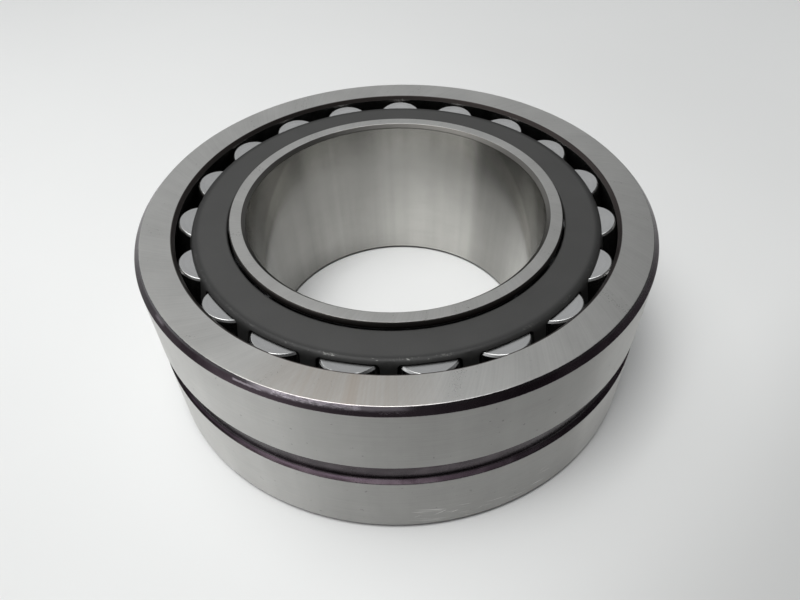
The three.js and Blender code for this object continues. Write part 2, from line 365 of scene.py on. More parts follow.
@dataclass(frozen=True)
class Oxide:
    """The dark heat-treatment skin left on the outer ring's chamfers and in its groove.

    Most sectors are the places where it has worn or is tinted. The sector at 215° is painted shade on the
    skin, the one at 270° painted shade on the groove's floor, and the one at 240° a painted glint on the
    groove's lower ledge.
    """

    tint: Colour = (0.086, 0.067, 0.078)
    deep: Colour = (0.042, 0.03, 0.037)
    # The lilac of a painted glint on the groove's lower ledge, over the purple oxide.
    ledge_painted_glint: Colour = (0.088, 0.066, 0.084)
    grey: Colour = (0.09, 0.088, 0.09)
    brown: Colour = (0.05, 0.042, 0.038)
    bare: Colour = (0.77, 0.7, 0.76)
    roughness: float = 0.27
    chamfer_middle: float = 69.5
    chamfer_half: float = 2.4
    outside: float = 107.5
    groove_half: float = 5.55
    groove_floor: float = 105.5
    face_inside: float = 92.6
    worn: Sector = Sector(257.0, 17.0, soft=0.5)
    gritty: Sector = Sector(255.0, 9.5, soft=0.3)
    bright_edge: Sector = Sector(259.0, 21.0, 0.5, 0.2)
    chip: Sector = Sector(242.0, 3.6, 0.42, 0.4)
    faint_spot: Sector = Sector(216.8, 2.2, 0.1)
    nicks: Sector = Sector(268.3, 3.0, 0.3)
    tinted: Sector = Sector(258.0, 28.0, 1.2)
    # Painted shade on the skin around 215°.
    oxide_painted_shade: Sector = Sector(215.0, 24.0, 0.6)
    groove_glint: Sector = Sector(240.0, 28.0, soft=0.5)
    # Painted shade on the groove's floor around 270°.
    groove_painted_shade: Sector = Sector(270.0, 32.0, 0.42, 0.6)

    def _masks(self, place: Place) -> tuple[Wire, Wire]:
        """Where the skin lies and where it has worn through.

        Args:
            place: the surface point.

        Returns:
            The skin's mask and the worn places' mask.
        """
        height = abs(place.z)
        ragged = place.noise(0.9, detail=5.0, rough=0.7) - 0.5
        patchy = place.noise(0.04, detail=2.0) - 0.5
        side = place.radius - height - self.chamfer_middle
        chamfer = (self.chamfer_half + ragged * 0.35 + patchy * 0.3 - abs(side)).fade(-0.1, 0.1)
        in_groove = (self.outside - 0.1 + ragged * 0.1 - place.radius).fade(-0.06, 0.06)
        groove = in_groove * height.fade(self.groove_half + 0.6, self.groove_half + 0.3)
        lip = place.radius.fade(self.face_inside + 0.5, self.face_inside + 0.2) * height.fade(36.2, 36.5)
        bare = self._bare(place, side * -1.0, ragged, patchy)
        return chamfer.most(groove).most(lip), bare * chamfer

    def _bare(self, place: Place, up: Wire, ragged: Wire, patchy: Wire) -> Wire:
        """The worn places on the upper chamfer.

        Args:
            place: the surface point.
            up: how far up the chamfer the point is, from its middle.
            ragged: fine noise around 0.
            patchy: broad noise around 0.

        Returns:
            Their mask.
        """
        recipe = place.recipe
        rim = {0: place.spokes(60.0, 0.0), 1: recipe.vector(0.0, 0.0, up * -1.6)}
        grit = recipe.noise(recipe.add("ShaderNodeVectorMath", {"operation": "ADD"}, rim), 4.0, 0.8)
        band = place.sector(self.worn)
        spark = band * place.sector(self.gritty) * (grit + up * 0.03).fade(0.47, 0.58) * up.fade(-0.5, 0.7)
        edge = place.sector(self.bright_edge) * (up + (grit - 0.5) * 1.6).fade(1.9, 2.3)
        chip = place.sector(self.chip) * abs(up - 0.2 + ragged * 1.2).fade(0.6, 0.25)
        spot = place.sector(self.faint_spot) * abs(up - 0.3).fade(1.1, 0.3)
        nick = place.sector(self.nicks) * grit.fade(0.5, 0.6) * abs(up + 0.3).fade(1.0, 0.5)
        haze = band * (up + patchy * 0.6 + (grit - 0.5) * 1.4).fade(-0.6, 1.2) * 0.5
        return haze.most(spark).most(edge).most(chip).most(nick).most(spot) * place.z.fade(34.0, 35.0)

    def cover(self, place: Place, colour: Wire, roughness: Wire, ground: float) -> tuple[Wire, Wire]:
        """Lays the skin over the steel.

        Args:
            place: the surface point.
            colour: the steel's colour.
            roughness: the steel's roughness.
            ground: the steel's mean roughness.

        Returns:
            The colour and the roughness with the skin on.
        """
        recipe = place.recipe
        skin, bare = self._masks(place)
        tinge = place.noise(0.12, 0.3).fade(0.35, 0.7) * place.z.fade(25.0, 10.0).most(0.55)
        tinge = tinge + place.sector(self.tinted) * place.z.fade(20.0, 30.0)
        # Painted shade: the skin is darkened around 215°.
        dark = recipe.shade(recipe.mix(tinge, self.deep, self.tint), 1.0 - place.sector(self.oxide_painted_shade))
        streak = place.noise(0.1, 1.5).fade(0.3, 0.65)
        # Painted glint: a lilac line on the groove's lower ledge, strongest around 240°, over the purple
        # oxide.
        ledge = abs(place.radius - self.groove_floor - 0.8).fade(0.5, 0.15) * place.z.fade(-4.6, -4.8)
        ledge = ledge * place.sector(self.groove_glint).most(0.12)
        dark = recipe.mix(ledge * (0.35 + streak * 0.65), dark, self.ledge_painted_glint)
        floor = place.radius.fade(self.groove_floor + 0.4, self.groove_floor + 0.1) * (0.4 + streak * 0.6)
        # Painted shade: the groove floor's grey is dimmed around 270°.
        dark = recipe.mix(floor * (0.75 - place.sector(self.groove_painted_shade)), dark, self.grey)
        dark = recipe.mix(bare, dark, self.bare)
        lip = place.radius.fade(self.face_inside + 1.4, self.face_inside + 0.8)
        dark = recipe.mix(lip * 0.8, dark, self.brown)
        shift = (self.roughness - ground) + bare * 0.08 + lip * 0.2
        return recipe.mix(skin, colour, dark), roughness + skin * shift


@dataclass(frozen=True)
class GroundSteel:
    """Ground bearing steel.

    The lay is the direction of the grinding marks, and the painted reflections are lighter and duller
    stretches of base colour that stand partly for reflections. The oxide, when there is one, covers chamfers
    and groove.
    """

    name: str
    tint: Colour = (0.56, 0.55, 0.53)
    roughness: float = 0.3
    stretch: float = 0.0
    lay: Lay = Lay.ROUND
    streak_tone: float = 0.2
    speck_tone: float = 0.07
    line_tone: float = 0.16
    line_depth: float = 0.0012
    # Painted reflections: stretches round the axis whose base colour is lighter or darker.
    painted_reflections: tuple[Sector, ...] = ()
    in_bore: bool = False
    pits: bool = False
    blush: bool = False
    scratches: bool = False
    oxide: Oxide | None = None
    blush_tint: Colour = (0.475, 0.425, 0.375)
    scratch_tint: Colour = (0.88, 0.87, 0.85)

    def make(self) -> bpy.types.Material:
        """Makes the material."""
        material, recipe = new_material(self.name)
        place = Place(recipe)
        lines, streaks = self._marks(place)
        specks = place.noise(1.7, rough=0.6) - 0.5
        tone = 1.0 + (lines - 0.5) * self.line_tone + (streaks - 0.5) * self.streak_tone
        tone = tone + (place.noise(0.07, rough=0.6) - 0.5) * 0.2 + specks * self.speck_tone
        if self.pits:
            tone = tone - place.noise(0.55, detail=1.0).fade(0.74, 0.78) * 0.3
        # Painted reflections and shade laid into the tone.
        if self.painted_reflections:
            tone = tone * self._painted_light(place)
        roughness = self.roughness + (streaks - 0.5) * 0.06 + specks * self.speck_tone * 0.8
        colour = recipe.shade(self.tint, tone)
        if self.blush:
            colour = self._blushed(place, colour)
        height = lines
        if self.scratches:
            scratch = self._scratch_mask(place)
            colour = recipe.mix(scratch * 0.75, colour, self.scratch_tint)
            height = height - scratch * 0.6
        if self.oxide is not None:
            colour, roughness = self.oxide.cover(place, colour, roughness, self.roughness)
        fixed = {"Anisotropic": self.stretch, "Anisotropic Rotation": 0.25} if self.stretch else {}
        finish_material(recipe, colour, roughness, height, self.line_depth, 1.0, fixed)
        return material

    def _marks(self, place: Place) -> tuple[Wire, Wire]:
        """The fine grinding lines and the broad soft streaks across them."""
        if self.lay is Lay.ROUND:
            lines = place.noise(0.03, 3.2, 4.0, 0.65)
            streaks = place.recipe.noise(place.spokes(9.0, 0.002), 4.0, 0.55)
        else:
            lines = place.recipe.noise(place.spokes(150.4, 0.05, 0.006), 1.0)
            streaks = place.recipe.noise(place.spokes(9.0, 0.01, 0.004), rough=0.6)
        return lines, streaks

    def _painted_light(self, place: Place) -> Wire:
        """Painted reflections and shade: how light each stretch is, with the bore's painted light and dark
        bands, painted shade across its middle and away from its back, and a painted shade line under its
        chamfer.
        """
        share: Value = 1.0
        for patch in self.painted_reflections:
            share = share + place.sector(patch)
        if not self.in_bore:
            return share
        # Painted reflections and shade in the bore: a light band high at the back, a thin dark band, a dark
        # line under the chamfer, a darker arc away from the back, and a darker middle.
        upper = place.sector(Sector(75.0, 32.0, 0.5)) * place.z.fade(12.0, 33.0)
        thin = place.sector(Sector(48.0, 5.0, 0.14)) * place.z.fade(-20.0, 30.0)
        line = place.z.fade(36.1, 36.4) * 0.7
        slope = place.y / place.radius
        arc = (place.z - slope * 50.0).fade(2.5, 5.5) * slope.fade(0.75, 0.55) * 0.3
        hollow = abs(place.z - 5.0).fade(30.0, 0.0) * 0.14
        return (share + upper - thin) * (1.0 - line) * (1.0 - arc) * (1.0 - hollow)

    def _blushed(self, place: Place, colour: Wire) -> Wire:
        """Adds the faint warm stain on the face."""
        streaky = place.recipe.noise(place.spokes(110.0, 0.02)).fade(0.3, 0.7)
        wide = place.sector(Sector(259.0, 21.0))
        line = place.sector(Sector(261.0, 1.6, 0.3))
        return place.recipe.mix(wide * (0.32 + streaky * 0.28) + line, colour, self.blush_tint)

    def _scratch_mask(self, place: Place) -> Wire:
        """A few thin slanted scratches low on the outside."""
        recipe = place.recipe
        flat = recipe.vector(place.x * 0.05, (place.z + place.x * 0.14) * 1.7, 3.0)
        steep = recipe.vector(place.x * 0.12, (place.z - place.x * 0.5) * 1.4, 7.0)
        thin = recipe.noise(flat, 1.0).fade(0.66, 0.72)
        thin = thin.most(recipe.noise(steep, 1.0).fade(0.72, 0.77))
        return thin * place.sector(Sector(287.0, 20.0, soft=0.4)) * place.z.fade(-20.0, -25.0)


@dataclass(frozen=True)
class PolishedSteel:
    """Honed raceways and rollers, with an optional band of painted shade towards the faces."""

    name: str
    tint: Colour = (0.62, 0.63, 0.64)
    roughness: float = 0.16
    line_scale: float = 1.6
    line_tone: float = 0.08
    rings: bool = False
    # Painted shade: above this height, towards the faces, the raceway darkens to the tint below.
    painted_shade_above: float = 0.0
    painted_shade_tint: Colour = (0.05, 0.045, 0.042)

    def make(self) -> bpy.types.Material:
        """Makes the material."""
        material, recipe = new_material(self.name)
        place = Place(recipe)
        if self.rings:
            lines = recipe.noise(recipe.vector(place.radius * self.line_scale, place.z * 0.2, 0.0), rough=0.6)
        else:
            lines = place.noise(0.05, self.line_scale, rough=0.6)
        smudge = place.noise(0.09) - 0.5
        fleck = place.noise(0.8, detail=4.0, rough=0.6) - 0.5
        tone = 1.0 + (lines - 0.5) * self.line_tone + smudge * 0.14 + fleck * 0.02
        roughness = self.roughness + smudge * 0.06
        colour = recipe.shade(self.tint, tone)
        # Painted shade near the faces.
        if self.painted_shade_above:
            dark = abs(place.z).fade(self.painted_shade_above, self.painted_shade_above + 0.4)
            colour = recipe.mix(dark, colour, self.painted_shade_tint)
            roughness = roughness + dark * 0.25
        finish_material(recipe, colour, roughness, lines, 0.0002)
        return material


@dataclass(frozen=True)
class Phosphate:
    """Matt dark phosphate on pressed steel sheet, rubbed bright in places on the bend and the lip, and
    darkened on the bend by painted shade.
    """

    name: str
    tint: Colour = (0.052, 0.052, 0.051)
    worn: Colour = (0.2, 0.2, 0.19)
    roughness: float = 0.5
    bend_radius: float = 84.2
    lip_radius: float = 71.2
    rubbed: Sector = Sector(258.0, 30.0, 0.75)

    def make(self) -> bpy.types.Material:
        """Makes the material."""
        material, recipe = new_material(self.name)
        place = Place(recipe)
        grain = place.noise(3.0, detail=4.0, rough=0.7) - 0.5
        cloud = place.noise(0.06) - 0.5
        rub = place.noise(0.25, 1.2, 4.0, 0.65) + place.noise(1.6, 2.0, 4.0, 0.7) * 0.8
        edge = abs(place.radius - self.bend_radius).fade(1.1, 0.1)
        edge = edge.most(abs(place.radius - self.lip_radius).fade(0.45, 0.05))
        wear = edge * (0.25 + place.sector(self.rubbed)) * rub.fade(1.0, 1.12) * abs(place.z).fade(33.0, 34.5)
        # Painted shade: the outer bend is darkened.
        bend = place.radius.fade(self.bend_radius - 2.4, self.bend_radius - 0.4) * 0.55
        tone = (1.0 + grain * 0.8 + cloud * 0.3) * (1.0 - bend)
        colour = recipe.mix(wear * 0.75, recipe.shade(self.tint, tone), self.worn)
        roughness = self.roughness + grain * 0.16 - wear * 0.15
        finish_material(recipe, colour, roughness, grain, 0.006, 0.35 + wear * 0.5)
        return material


@dataclass(frozen=True)
class TurnedIron:
    """Fine turned guide ring."""

    name: str
    tint: Colour = (0.36, 0.355, 0.34)
    roughness: float = 0.38

    def make(self) -> bpy.types.Material:
        """Makes the material."""
        material, recipe = new_material(self.name)
        place = Place(recipe)
        turning = recipe.noise(recipe.vector(place.radius * 4.0, place.z * 4.0, 0.0), 2.0)
        stain = place.noise(0.08) - 0.5
        tone = 1.0 + (turning - 0.5) * 0.3 + stain * 0.25
        finish_material(recipe, recipe.shade(self.tint, tone), self.roughness + stain * 0.15, turning, 0.004)
        return material


# ---------------------------------------------------------------- mesh tools


@dataclass(frozen=True)
class Corner:
    """A corner of an axial section: its radius, height, fillet, and the zone of the side that follows."""

    radius: float
    height: float
    fillet: float = 0.0
    zone: int = 0


@dataclass
class Section:
    """A closed outline of (radius, height) points, outside first and upwards, with a zone for each side."""

    points: list[Point] = field(default_factory=list)
    zones: list[int] = field(default_factory=list)

    def go(self, point: Point, zone: int) -> None:
        """Adds a point, and the zone of the side that leaves it."""
        self.points.append((float(point[0]), float(point[1])))
        self.zones.append(zone)

    @staticmethod
    def rounded(corners: Sequence[Corner], steps: int = 5, margin: float = 0.12) -> "Section":
        """Rounds each corner's edge.

        Args:
            corners: the corners in order.
            steps: flats in each fillet.
            margin: how far before and after a fillet a supporting point stands.

        Returns:
            The outline with its fillets.
        """
        section = Section()
        count = len(corners)
        spots = [complex(corner.radius, corner.height) for corner in corners]
        for i, corner in enumerate(corners):
            here = spots[i]
            if not corner.fillet:
                section.go((here.real, here.imag), corner.zone)
                continue
            back, ahead = spots[i - 1] - here, spots[(i + 1) % count] - here
            room_back, room_ahead = abs(back), abs(ahead)
            back, ahead = back / room_back, ahead / room_ahead
            before = corners[i - 1].zone
            half = abs(cmath.phase(ahead / back)) / 2
            reach = corner.fillet / math.tan(half)
            middle = here + (back + ahead) / abs(back + ahead) * (corner.fillet / math.sin(half))
            start = here + back * reach - middle
            sweep = cmath.phase((here + ahead * reach - middle) / start)
            stops = []
            for k in range(steps + 1):
                stops.append((middle + start * cmath.exp(1j * sweep * k / steps), k < steps / 2))
            if room_back > 2 * (reach + margin):
                stops.insert(0, (here + back * (reach + margin), True))
            if room_ahead > 2 * (reach + margin):
                stops.append((here + ahead * (reach + margin), False))
            for spot, early in stops:
                section.go((spot.real, spot.imag), before if early else corner.zone)
        return section


class Skin:
    """The quads of one piece, gathered patch by patch and then welded."""

    def __init__(self) -> None:
        """Starts with nothing."""
        self.points: list[np.ndarray] = []
        self.quads: list[np.ndarray] = []
        self.zones: list[np.ndarray] = []
        self.count = 0

    def grid(
        self,
        points: np.ndarray,
        zones: Sequence[int] | int = 0,
        wrap: bool = True,
        leave_out: np.ndarray | None = None,
    ) -> None:
        """Adds a grid of quads.

        Args:
            points: rows by columns by 3. From row to row and column to column it turns as the outside needs.
            zones: the zone of each row of quads, or one for all.
            wrap: whether the last column joins the first.
            leave_out: quads that are left open, rows by columns.
        """
        rows, columns = points.shape[:2]
        index = np.arange(rows * columns).reshape(rows, columns) + self.count
        nxt = np.roll(index, -1, axis=1)
        quads = np.stack([index[:-1], nxt[:-1], nxt[1:], index[1:]], axis=-1)
        if not wrap:
            quads = quads[:, :-1]
        zone = np.broadcast_to(np.reshape(zones, (-1, 1)), quads.shape[:2])
        keep = np.ones(quads.shape[:2], bool) if leave_out is None else ~leave_out
        self.points.append(points.reshape(-1, 3))
        self.quads.append(quads[keep])
        self.zones.append(zone[keep])
        self.count += rows * columns

    def revolve(self, section: Section, columns: int, leave_out: np.ndarray | None = None) -> None:
        """Turns a closed section round the axis.

        Args:
            section: the outline.
            columns: how many divisions round the axis.
            leave_out: quads that are left open.
        """
        outline = np.array([*section.points, section.points[0]])
        self.grid(turned(outline, columns), section.zones, True, leave_out)

    def to_mesh(self, name: str, transform: Matrix | None = None, flip: bool = False) -> bpy.types.Mesh:
        """Welds everything into a mesh.

        Args:
            name: the mesh's name.
            transform: moves the points, in millimetres.
            flip: turns the faces over, after a mirroring transform.

        Returns:
            The mesh, in metres and smooth.
        """
        points = np.concatenate(self.points)
        quads = np.concatenate(self.quads)
        zones = np.concatenate(self.zones)
        if transform is not None:
            points = points @ np.array(transform)[:3, :3].T + np.array(transform)[:3, 3]
        keys = np.round(points, 4)
        unique, first, place = np.unique(keys, axis=0, return_index=True, return_inverse=True)
        quads = place.reshape(-1)[quads]
        if flip:
            quads = quads[:, ::-1]
        faces, kept = [], []
        for quad, zone in zip(quads.tolist(), zones.tolist()):
            corners = list(dict.fromkeys(quad))
            if len(corners) > 2:
                faces.append(corners)
                kept.append(zone)
        mesh = bpy.data.meshes.new(name)
        mesh.from_pydata((points[first] * MM).tolist(), [], faces)
        mesh.polygons.foreach_set("material_index", kept)
        mesh.polygons.foreach_set("use_smooth", [True] * len(faces))
        mesh.validate()
        mesh.update()
        mesh.set_sharp_from_angle(angle=SHARP_ANGLE)
        return mesh


def turned(outline: np.ndarray, columns: int, start: float = 0.0) -> np.ndarray:
    """Points of an outline turned round the axis.

    Args:
        outline: (radius, height) points.
        columns: how many divisions.
        start: the first column's azimuth, in radians.

    Returns:
        Rows by columns by 3.
    """
    angle = start + np.arange(columns) * 2 * math.pi / columns
    radius = outline[:, :1]
    height = np.broadcast_to(outline[:, 1:2], (len(outline), columns))
    return np.stack([radius * np.cos(angle), radius * np.sin(angle), height], axis=-1)


def blended(first: np.ndarray, second: np.ndarray, shares: Sequence[float]) -> list[np.ndarray]:
    """Loops part of the way from one loop to another.

    Args:
        first: the loop at 0.
        second: the loop at 1.
        shares: how far along each new loop is.

    Returns:
        The new loops.
    """
    return [first + (second - first) * share for share in shares]


def place_piece(
    mesh: bpy.types.Mesh,
    node: str,
    finishes: Sequence[bpy.types.Material],
    matrix: Matrix | None = None,
) -> bpy.types.Object:
    """Puts a piece in the scene in place of its CAD node.

    Args:
        mesh: its mesh.
        node: the CAD node that it stands for, which is also its body.
        finishes: a material for each of the mesh's zones.
        matrix: where it stands, or None if the mesh is already in place.

    Returns:
        The piece.
    """
    if not mesh.materials:
        for material in finishes:
            mesh.materials.append(material)
    piece = bpy.data.objects.new(f"{node}_finished", mesh)
    bpy.context.scene.collection.objects.link(piece)
    if matrix is not None:
        piece.matrix_world = matrix
    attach(piece, node)
    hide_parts(node)
    return piece


# ---------------------------------------------------------------- rollers


@dataclass(frozen=True)
class RollerLine:
    """The axis of a roller of the upper row at azimuth 0: where its middle stands and how far it leans."""

    radius: float = 84.1515
    height: float = 19.5827
    lean: float = math.radians(13.1)

    def local(self, points: np.ndarray) -> np.ndarray:
        """(radius, height) points as (along, outward) of the roller."""
        sine, cosine = math.sin(self.lean), math.cos(self.lean)
        radius = points[..., 0] - self.radius
        height = points[..., 1] - self.height
        return np.stack([height * cosine - radius * sine, radius * cosine + height * sine], axis=-1)

    def point(self, along: Any, outward: Any) -> tuple[Any, Any]:
        """The radius and height of a point along the axis and outward of it."""
        sine, cosine = math.sin(self.lean), math.cos(self.lean)
        return (
            self.radius - along * sine + outward * cosine,
            self.height + along * cosine + outward * sine,
        )


@dataclass
class Rollers:
    """The barrel rollers of both rows."""

    radius: float = 11.8
    length: float = 27.5
    profile: float = 95.6
    end_radius: float = 10.3
    end_chamfer: float = 0.9
    centre_mark: float = 1.3
    gap: float = 0.3
    columns: int = 96
    line: RollerLine = RollerLine()
    BARREL, END = range(2)

    def barrel(self, along: np.ndarray | float) -> np.ndarray | float:
        """The barrel's radius at a distance from its middle."""
        return self.radius - (self.profile - np.sqrt(self.profile**2 - np.square(along)))

    def inner_face_height(self, radius: float) -> float:
        """Height of the line beside the rollers' inner end faces, at a radius."""
        start = self.line.point(-self.length / 2 - self.gap, 0.0)
        return start[1] + (radius - start[0]) * math.tan(self.line.lean)

    def build(self) -> bpy.types.Mesh:
        """Builds one roller, standing on its own axis."""
        half = self.length / 2
        shoulder = half - self.end_chamfer
        rim = float(self.barrel(shoulder))
        corners = [
            Corner(rim, shoulder, 0.35, self.END),
            Corner(self.end_radius, half, 0.4, self.END),
            Corner(self.centre_mark, half, 0.15, self.END),
            Corner(0.0, half - self.centre_mark * 0.5, 0.0, self.END),
            Corner(0.0, self.centre_mark * 0.5 - half, 0.0, self.END),
            Corner(self.centre_mark, -half, 0.15, self.END),
            Corner(self.end_radius, -half, 0.4, self.END),
            Corner(rim, -shoulder, 0.35, self.BARREL),
        ]
        section = Section.rounded(corners)
        for along in np.linspace(-shoulder * 0.94, shoulder * 0.94, 19):
            section.go((self.barrel(along), along), self.BARREL)
        skin = Skin()
        skin.revolve(section, self.columns)
        return skin.to_mesh("roller")

    def dress(self) -> list[bpy.types.Material]:
        """The barrel's and the end faces' finishes."""
        barrel = PolishedSteel("roller_barrel", (0.56, 0.56, 0.55), 0.18)
        end = PolishedSteel("roller_end", (0.6, 0.6, 0.595), 0.26, rings=True, line_scale=0.9, line_tone=0.14)
        return [barrel.make(), end.make()]

    def seat(self, joint: Mapping[str, Any]) -> Matrix:
        """Works out where a roller stands.

        Args:
            joint: the joint that it spins on.

        Returns:
            The roller's place, with its X turned away from the bearing's axis.
        """
        centre = Vector(joint["pos_m"])
        axis = Vector(joint["axis"]).normalized()
        outward = Vector((centre.x, centre.y, 0.0))
        outward = (outward - axis * outward.dot(axis)).normalized()
        turn = Matrix((outward, axis.cross(outward), axis)).transposed().to_4x4()
        return Matrix.Translation(centre) @ turn


# ---------------------------------------------------------------- rings


@dataclass
class OuterRing:
    """The outer ring, with its spherical raceway, oil groove and three oil holes."""

    node: str = "outer_ring"
    outside: float = 107.5
    half_width: float = 38.0
    chamfer: float = 2.4
    face_inside: float = 92.6
    raceway: float = 98.5
    inner_chamfer: float = 1.6
    groove_half: float = 5.55
    groove_floor_half: float = 4.7
    groove_floor: float = 105.5
    hole_radius: float = 3.0
    hole_azimuths: tuple[float, ...] = (90.0, 210.0, 330.0)
    columns: int = 456
    patch_half: float = 4.2
    patch_cells: int = 8
    edge: float = 0.3
    OUTSIDE, FACE, SKIN, RACE = range(4)

    def section(self) -> Section:
        """The axial section."""
        top, wide = self.half_width, self.outside
        upper = [
            Corner(self.groove_floor, self.groove_floor_half, 0.35, self.SKIN),
            Corner(wide, self.groove_half, 0.3, self.OUTSIDE),
            Corner(wide, top - self.chamfer, 0.45, self.SKIN),
            Corner(wide - self.chamfer, top, 0.45, self.FACE),
            Corner(self.face_inside, top, 0.25, self.SKIN),
        ]
        zones = (self.FACE, self.SKIN, self.OUTSIDE, self.SKIN, self.SKIN)
        lower = [Corner(c.radius, -c.height, c.fillet, zone) for c, zone in zip(reversed(upper), zones)]
        edge = top - self.inner_chamfer
        edge_radius = math.sqrt(self.raceway**2 - edge**2)
        race = [Corner(edge_radius, edge, 0.0, self.RACE), Corner(edge_radius, -edge, 0.0, self.SKIN)]
        rough = Section.rounded([*upper, *race, *lower])
        finished = Section()
        for point, zone in zip(rough.points, rough.zones):
            finished.go(point, zone)
            if zone == self.RACE:
                for height in self._raceway_heights(edge):
                    finished.go((math.sqrt(self.raceway**2 - height**2), height), self.RACE)
        for height in np.linspace(-self.patch_half, self.patch_half, self.patch_cells + 1):
            finished.go((self.groove_floor, height), self.SKIN)
        return finished

    def _raceway_heights(self, edge: float) -> list[float]:
        """Heights of the raceway's points between its two edges, downwards."""
        band = np.linspace(self.patch_half, -self.patch_half, self.patch_cells + 1)
        above = np.linspace(edge, self.patch_half, 16)[1:-1]
        return [*above, *band, *(-above[::-1])]

    def _surface_radius(self, height: np.ndarray, inside: bool) -> np.ndarray | float:
        """The raceway's radius at a height, or the groove floor's."""
        return np.sqrt(self.raceway**2 - height**2) if inside else self.groove_floor

    def _hole(self, azimuth: float) -> np.ndarray:
        """Lays loops from the groove's floor through one oil hole to the raceway.

        Args:
            azimuth: the hole's direction in degrees.

        Returns:
            Loops by points by 3.
        """
        cells = self.patch_cells
        step = 2 * math.pi / self.columns
        side = np.linspace(-1, 1, cells + 1)[:-1]
        column = np.concatenate([side, np.ones(cells), -side, -np.ones(cells)]) * (cells // 2)
        row = np.concatenate([-np.ones(cells), side, np.ones(cells), -side]) * self.patch_half
        turn = np.linspace(0, 2 * math.pi, 4 * cells, endpoint=False) - 0.75 * math.pi
        circle = np.stack([np.cos(turn), np.sin(turn)])
        mouth = circle * (self.hole_radius + self.edge)
        loops = []
        for inside in (False, True):
            border = np.stack([self._surface_radius(row, inside) * np.sin(column * step), row])
            flat = [border, *blended(border, mouth, (0.5, 0.9)), mouth]
            part = []
            for loop in flat:
                part.append((loop, np.sqrt(self._surface_radius(loop[1], inside) ** 2 - loop[0] ** 2)))
            lip = part[-1][1]
            sign = 1 if inside else -1
            for slope in np.radians([30, 60, 90]):
                loop = circle * (self.hole_radius + self.edge * (1 - math.sin(slope)))
                part.append((loop, lip + sign * self.edge * (1 - math.cos(slope))))
            loops.extend(reversed(part) if inside else part)
        c, s = math.cos(math.radians(azimuth)), math.sin(math.radians(azimuth))
        points = []
        for (across, height), depth in loops:
            points.append(np.stack([depth * c - across * s, depth * s + across * c, height], axis=-1))
        return np.array(points)

    def build(self) -> bpy.types.Mesh:
        """Builds the ring's mesh."""
        section = self.section()
        skin = Skin()
        heights = abs(np.array([*section.points, section.points[0]])[:, 1])
        band = (np.maximum(heights[:-1], heights[1:]) <= self.patch_half + 1e-6)[:, None]
        near_hole = np.zeros(self.columns, bool)
        reach = self.patch_cells // 2
        for azimuth in self.hole_azimuths:
            middle = round(azimuth / 360 * self.columns)
            near_hole[np.arange(middle - reach, middle + reach) % self.columns] = True
        skin.revolve(section, self.columns, band & near_hole[None, :])
        for azimuth in self.hole_azimuths:
            skin.grid(self._hole(azimuth), self.SKIN)
        return skin.to_mesh(self.node)

    def dress(self) -> list[bpy.types.Material]:
        """The ring's finishes, one for each zone."""
        oxide = Oxide()
        outside = GroundSteel(
            "outside_ground",
            (0.425, 0.421, 0.408),
            0.38,
            stretch=0.85,
            streak_tone=0.26,
            line_tone=0.28,
            # Painted reflections: lighter stretches at 213° and 324° and a darker one at 283°, laid into the
            # base colour.
            painted_reflections=(Sector(213.0, 42.0, 0.3), Sector(324.0, 20.0, 0.24), Sector(283.0, 32.0, -0.16)),
            pits=True,
            scratches=True,
            oxide=oxide,
        )
        face = GroundSteel(
            "outer_face_ground",
            (0.565, 0.56, 0.54),
            0.29,
            lay=Lay.ACROSS,
            line_depth=0.0005,
            blush=True,
            oxide=oxide,
        )
        skin = GroundSteel("outer_chamfers", roughness=0.3, oxide=oxide)
        race = PolishedSteel("outer_raceway", (0.42, 0.41, 0.4), 0.26)
        return [outside.make(), face.make(), skin.make(), race.make()]


